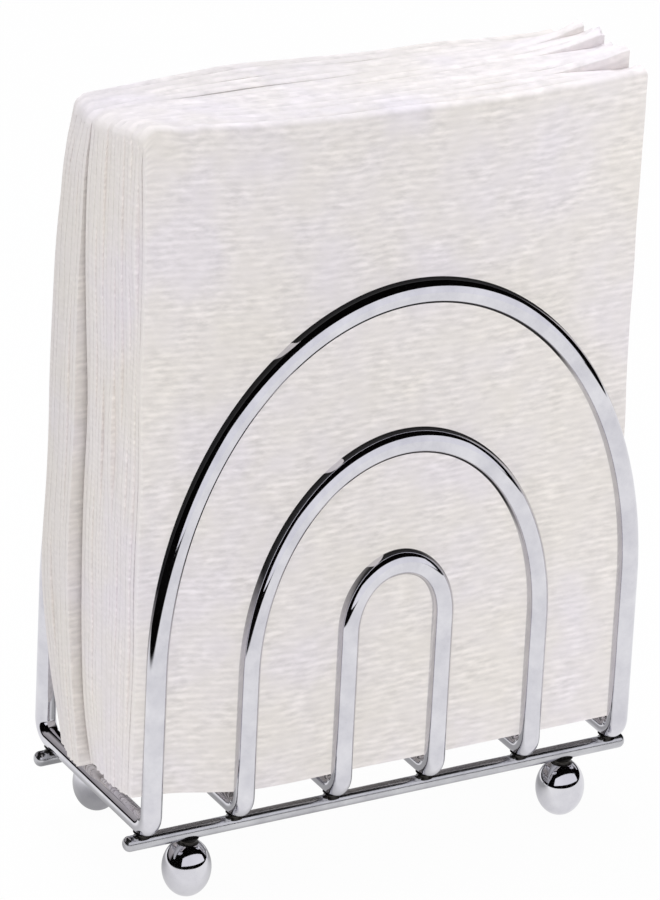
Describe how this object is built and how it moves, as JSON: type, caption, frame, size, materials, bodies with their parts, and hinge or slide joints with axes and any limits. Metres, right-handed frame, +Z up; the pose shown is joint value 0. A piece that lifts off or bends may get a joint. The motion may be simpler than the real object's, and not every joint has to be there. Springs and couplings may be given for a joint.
{
  "type": "napkin dispenser",
  "caption": "Upright chromed wire napkin dispenser: nested arch-shaped wire loops on ball feet hold a standing stack of folded paper napkins that lift out from above.",
  "frame": {"origin": "on the table, under the middle of the holder and its napkins together", "axes": "+Z up; +X along the cross bars, from the napkins' folded edges towards their open edges; +Y from the front arches to the rear ones"},
  "size_m": [0.1764, 0.0768, 0.2463],
  "materials": {
    "chrome": "polished",
    "paper": "matte"
  },
  "bodies": {
    "holder": {"outer_arch_loop": "chrome", "middle_arch_loop": "chrome", "inner_arch_loop": "chrome", "front_cross_bar": "chrome", "rear_cross_bar": "chrome", "foot_front_left": "chrome", "foot_front_right": "chrome", "foot_rear_left": "chrome", "foot_rear_right": "chrome"},
    "napkin_01": {"napkin_01": "paper"},
    "napkin_02": {"napkin_02": "paper"},
    "napkin_03": {"napkin_03": "paper"},
    "napkin_04": {"napkin_04": "paper"},
    "napkin_05": {"napkin_05": "paper"},
    "napkin_06": {"napkin_06": "paper"},
    "napkin_07": {"napkin_07": "paper"},
    "napkin_08": {"napkin_08": "paper"},
    "napkin_09": {"napkin_09": "paper"},
    "napkin_10": {"napkin_10": "paper"},
    "napkin_11": {"napkin_11": "paper"},
    "napkin_12": {"napkin_12": "paper"},
    "napkin_13": {"napkin_13": "paper"},
    "napkin_14": {"napkin_14": "paper"}
  },
  "joints": [
    {"name": "napkin_01_lift", "type": "slide", "parent": "holder", "child": "napkin_01", "axis": [0, 0, 1], "range_m": [0, 0.22]},
    {"name": "napkin_02_lift", "type": "slide", "parent": "holder", "child": "napkin_02", "axis": [0, 0, 1], "range_m": [0, 0.22]},
    {"name": "napkin_03_lift", "type": "slide", "parent": "holder", "child": "napkin_03", "axis": [0, 0, 1], "range_m": [0, 0.22]},
    {"name": "napkin_04_lift", "type": "slide", "parent": "holder", "child": "napkin_04", "axis": [0, 0, 1], "range_m": [0, 0.22]},
    {"name": "napkin_05_lift", "type": "slide", "parent": "holder", "child": "napkin_05", "axis": [0, 0, 1], "range_m": [0, 0.22]},
    {"name": "napkin_06_lift", "type": "slide", "parent": "holder", "child": "napkin_06", "axis": [0, 0, 1], "range_m": [0, 0.22]},
    {"name": "napkin_07_lift", "type": "slide", "parent": "holder", "child": "napkin_07", "axis": [0, 0, 1], "range_m": [0, 0.22]},
    {"name": "napkin_08_lift", "type": "slide", "parent": "holder", "child": "napkin_08", "axis": [0, 0, 1], "range_m": [0, 0.22]},
    {"name": "napkin_09_lift", "type": "slide", "parent": "holder", "child": "napkin_09", "axis": [0, 0, 1], "range_m": [0, 0.22]},
    {"name": "napkin_10_lift", "type": "slide", "parent": "holder", "child": "napkin_10", "axis": [0, 0, 1], "range_m": [0, 0.22]},
    {"name": "napkin_11_lift", "type": "slide", "parent": "holder", "child": "napkin_11", "axis": [0, 0, 1], "range_m": [0, 0.22]},
    {"name": "napkin_12_lift", "type": "slide", "parent": "holder", "child": "napkin_12", "axis": [0, 0, 1], "range_m": [0, 0.22]},
    {"name": "napkin_13_lift", "type": "slide", "parent": "holder", "child": "napkin_13", "axis": [0, 0, 1], "range_m": [0, 0.22]},
    {"name": "napkin_14_lift", "type": "slide", "parent": "holder", "child": "napkin_14", "axis": [0, 0, 1], "range_m": [0, 0.22]}
  ]
}
